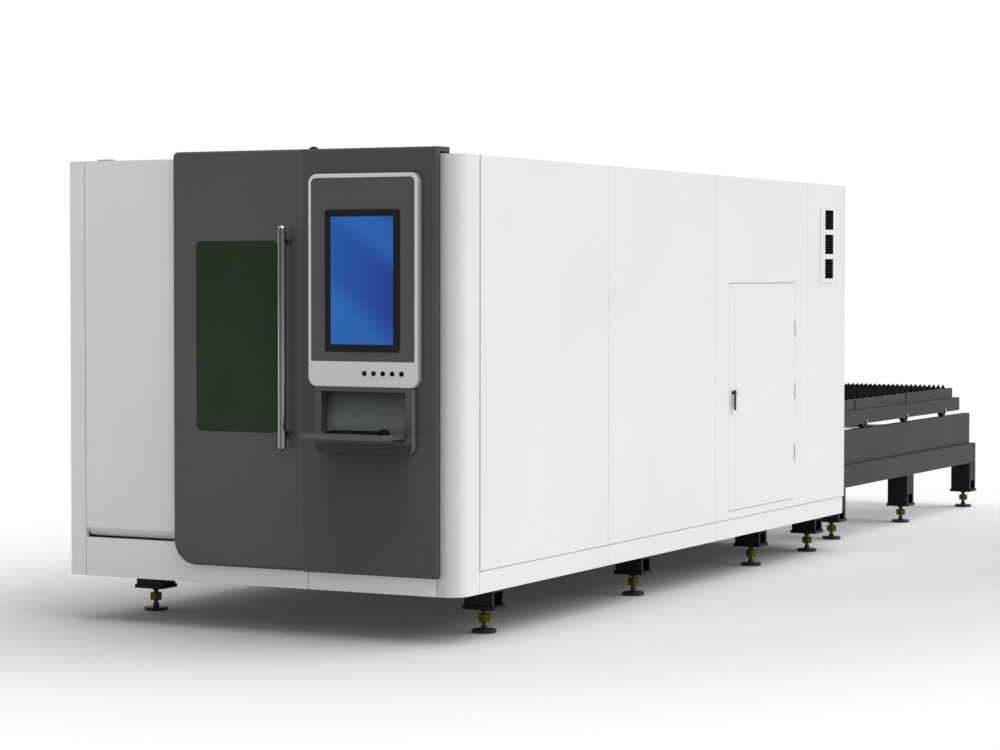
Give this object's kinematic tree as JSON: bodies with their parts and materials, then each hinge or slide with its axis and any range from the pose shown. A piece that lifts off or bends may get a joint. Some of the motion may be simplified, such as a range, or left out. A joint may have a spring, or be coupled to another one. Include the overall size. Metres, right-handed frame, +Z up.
{
  "type": "fiber laser cutting machine",
  "caption": "Enclosed sheet metal laser cutter with a sliding front door, a control panel and a toothed pallet that rolls out on a rear table.",
  "frame": {"origin": "on the floor under the middle of the whole machine's box", "axes": "+Z up, +Y from the cabin's front to the exchange table at the rear, +X to the right seen from the front"},
  "size_m": [2.188, 8.674, 2.316],
  "materials": {
    "white_panel": "satin white powder coat",
    "dark_panel": "satin charcoal powder coat",
    "frame_paint": "dark grey paint",
    "bed_paint": "grey primer paint",
    "leg_black": "black powder coat",
    "foot_steel": "blackened steel",
    "nut_olive": "yellow passivated zinc",
    "steel": "machined steel",
    "galvanised": "plain sheet steel",
    "control_shell": "satin light grey",
    "control_dark": "satin dark grey",
    "bezel_black": "gloss black",
    "screen_glass": "lit blue display",
    "window_glass": "dark green laser safety glass",
    "button_face": "gloss black",
    "handle_steel": "polished round bar",
    "key_plastic": "matt black",
    "pallet_paint": "dark grey paint",
    "slat_steel": "cut sheet steel",
    "wheel_steel": "turned steel",
    "cabinet_paint": "light grey paint"
  },
  "bodies": {
    "machine": {"bed_frame": "bed_paint", "legs": "leg_black", "leveling_feet": "foot_steel", "lock_nuts": "nut_olive", "slag_pans": "galvanised", "pallet_rail_beams": "pallet_paint", "cabin_frame": "frame_paint", "front_left_cover": "white_panel", "front_bay_panel": "white_panel", "front_skirts": "white_panel", "front_corner_cover": "white_panel", "side_panels": "white_panel", "side_panel_service": "white_panel", "side_panel_vent": "white_panel", "side_skirts": "white_panel", "roof_panels": "white_panel", "back_wall": "white_panel", "front_fascia": "dark_panel", "door_rail": "steel", "lifting_eyes": "leg_black", "vent_grille": "white_panel", "laser_source": "cabinet_paint", "electrical_cabinet": "cabinet_paint", "control_panel_frame": "control_shell", "control_panel_inset": "control_dark", "monitor_bezel": "bezel_black", "screen": "screen_glass", "keyboard_housing": "dark_panel", "door_hinges": "white_panel", "vent_louvres": "key_plastic", "guide_rails": "steel", "table_lower_frame": "pallet_paint", "drive_motor": "bed_paint", "drive_chains": "foot_steel"},
    "front_door": {"sliding_door": "dark_panel", "door_window": "window_glass", "door_handle": "handle_steel", "door_guides": "steel"},
    "keyboard_shelf": {"keyboard_tray": "dark_panel", "keyboard_and_mouse": "key_plastic"},
    "side_door": {"service_door": "white_panel"},
    "latch": {"latch_handle": "handle_steel"},
    "gantry": {"gantry_beam": "frame_paint", "gantry_carriages": "steel"},
    "cross_carriage": {"head_carriage": "frame_paint"},
    "laser_head": {"cutting_head": "steel"},
    "pallet": {"pallet_frame": "pallet_paint", "slat_holders": "pallet_paint", "slats": "slat_steel"},
    "pallet_drive_shaft": {"drive_shaft": "steel"},
    "pallet_idler_shaft": {"idler_shaft": "steel"},
    "button_1_cap": {"button_1": "button_face"},
    "button_2_cap": {"button_2": "button_face"},
    "button_3_cap": {"button_3": "button_face"},
    "button_4_cap": {"button_4": "button_face"},
    "button_5_cap": {"button_5": "button_face"},
    "wheel_pair_1": {"pallet_wheels_1": "wheel_steel"},
    "wheel_pair_2": {"pallet_wheels_2": "wheel_steel"},
    "wheel_pair_3": {"pallet_wheels_3": "wheel_steel"},
    "wheel_pair_4": {"pallet_wheels_4": "wheel_steel"}
  },
  "joints": [
    {"name": "front_door_slide", "type": "slide", "parent": "machine", "child": "front_door", "axis": [-1, 0, 0], "range_m": [0, 0.6]},
    {"name": "keyboard_shelf_fold", "type": "hinge", "parent": "machine", "child": "keyboard_shelf", "pos_m": [0.599, -4.137, 0.9575], "axis": [-1, 0, 0], "range_deg": [0, 90]},
    {"name": "side_door_hinge", "type": "hinge", "parent": "machine", "child": "side_door", "pos_m": [1.0713, 0.1165, 1.013], "axis": [0, 0, 1], "range_deg": [0, 110]},
    {"name": "latch_turn", "type": "hinge", "parent": "side_door", "child": "latch", "pos_m": [1.071, -0.845, 1.0375], "axis": [1, 0, 0], "range_deg": [0, 90]},
    {"name": "gantry_slide", "type": "slide", "parent": "machine", "child": "gantry", "axis": [0, 1, 0], "range_m": [-2.6, 0.45]},
    {"name": "cross_slide", "type": "slide", "parent": "gantry", "child": "cross_carriage", "axis": [1, 0, 0], "range_m": [-0.76, 0.76]},
    {"name": "head_lift", "type": "slide", "parent": "cross_carriage", "child": "laser_head", "axis": [0, 0, 1], "range_m": [-0.06, 0.1]},
    {"name": "pallet_slide", "type": "slide", "parent": "machine", "child": "pallet", "axis": [0, -1, 0], "range_m": [0, 4.15]},
    {"name": "button_1_push", "type": "slide", "parent": "machine", "child": "button_1_cap", "axis": [0, 1, 0], "range_m": [0, 0.0025], "stiffness_N_per_m": 400, "springref_m": -0.002},
    {"name": "button_2_push", "type": "slide", "parent": "machine", "child": "button_2_cap", "axis": [0, 1, 0], "range_m": [0, 0.0025], "stiffness_N_per_m": 400, "springref_m": -0.002},
    {"name": "button_3_push", "type": "slide", "parent": "machine", "child": "button_3_cap", "axis": [0, 1, 0], "range_m": [0, 0.0025], "stiffness_N_per_m": 400, "springref_m": -0.002},
    {"name": "button_4_push", "type": "slide", "parent": "machine", "child": "button_4_cap", "axis": [0, 1, 0], "range_m": [0, 0.0025], "stiffness_N_per_m": 400, "springref_m": -0.002},
    {"name": "button_5_push", "type": "slide", "parent": "machine", "child": "button_5_cap", "axis": [0, 1, 0], "range_m": [0, 0.0025], "stiffness_N_per_m": 400, "springref_m": -0.002},
    {"name": "wheel_pair_1_roll", "type": "hinge", "parent": "pallet", "child": "wheel_pair_1", "pos_m": [-0.014, 1.205, 0.7363], "axis": [1, 0, 0], "range_deg": [-5, 5100]},
    {"name": "wheel_pair_2_roll", "type": "hinge", "parent": "pallet", "child": "wheel_pair_2", "pos_m": [-0.014, 2.034, 0.7363], "axis": [1, 0, 0], "range_deg": [-5, 5100]},
    {"name": "wheel_pair_3_roll", "type": "hinge", "parent": "pallet", "child": "wheel_pair_3", "pos_m": [-0.014, 2.863, 0.7363], "axis": [1, 0, 0], "range_deg": [-5, 5100]},
    {"name": "wheel_pair_4_roll", "type": "hinge", "parent": "pallet", "child": "wheel_pair_4", "pos_m": [-0.014, 3.692, 0.7363], "axis": [1, 0, 0], "range_deg": [-5, 5100]},
    {"name": "pallet_drive_shaft_turn", "type": "hinge", "parent": "machine", "child": "pallet_drive_shaft", "pos_m": [-0.014, 1.074, 0.573], "axis": [1, 0, 0], "range_deg": [-5, 4000]},
    {"name": "pallet_idler_shaft_turn", "type": "hinge", "parent": "machine", "child": "pallet_idler_shaft", "pos_m": [-0.014, 4.174, 0.573], "axis": [1, 0, 0], "range_deg": [-5, 4000]}
  ],
  "couplings": [
    {"joint": "wheel_pair_1_roll", "follows": "pallet_slide", "rad_per_m": 21.142},
    {"joint": "wheel_pair_2_roll", "follows": "pallet_slide", "rad_per_m": 21.142},
    {"joint": "wheel_pair_3_roll", "follows": "pallet_slide", "rad_per_m": 21.142},
    {"joint": "wheel_pair_4_roll", "follows": "pallet_slide", "rad_per_m": 21.142},
    {"joint": "pallet_drive_shaft_turn", "follows": "pallet_slide", "rad_per_m": 16.313},
    {"joint": "pallet_idler_shaft_turn", "follows": "pallet_slide", "rad_per_m": 16.313}
  ]
}
